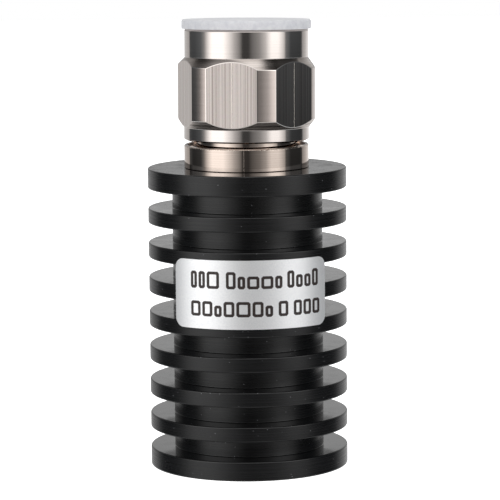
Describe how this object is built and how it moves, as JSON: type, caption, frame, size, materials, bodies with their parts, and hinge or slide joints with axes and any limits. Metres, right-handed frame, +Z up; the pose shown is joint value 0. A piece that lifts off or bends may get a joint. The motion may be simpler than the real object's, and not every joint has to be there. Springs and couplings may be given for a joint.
{
  "type": "rf dummy load",
  "caption": "Finned cylindrical coaxial load that stands on its flange, with a free-turning coupling nut and a push-in dust cap.",
  "frame": {"origin": "centre of the lower flange's underside", "axes": "+Z up the common axis towards the plug, -Y towards the rating label, +X to the right of the label"},
  "size_m": [0.032, 0.0322, 0.0724],
  "materials": {
    "black_anodised": "black anodised, fine turning marks, satin",
    "label_film": "satin silver polyester film",
    "nickel_plate": "nickel plated, turned and milled",
    "gold_plate": "gold plated",
    "ptfe": "machined white PTFE",
    "silicone": "moulded silicone",
    "spring_steel": "plain spring steel",
    "cap_plastic": "translucent moulded polyethylene",
    "plain_aluminium": "milled",
    "plated_copper": "flash plated copper",
    "grey_ceramic": "fired aluminium nitride",
    "white_ceramic": "fired alumina",
    "silver_strip": "silver plated strip",
    "stainless": "plain stainless steel"
  },
  "bodies": {
    "load_body": {"heat_sink": "black_anodised", "rating_label": "label_film", "connector_body": "nickel_plate", "retaining_ring": "spring_steel", "face_gasket": "silicone", "front_insulator": "ptfe", "rear_insulator": "ptfe", "outer_contact": "gold_plate", "centre_pin": "gold_plate", "heat_spreader": "plain_aluminium", "resistor_flange": "plated_copper", "resistor_substrate": "grey_ceramic", "resistor_lid": "white_ceramic", "resistor_tab": "silver_strip", "spreader_screw_1": "stainless", "spreader_screw_2": "stainless", "flange_screw_1": "stainless", "flange_screw_2": "stainless"},
    "coupling": {"coupling_nut": "nickel_plate", "dust_cap": "cap_plastic"}
  },
  "joints": [
    {"name": "nut_spin", "type": "hinge", "parent": "load_body", "child": "coupling", "pos_m": [0, 0, 0.053], "axis": [0, 0, 1], "continuous": true}
  ]
}
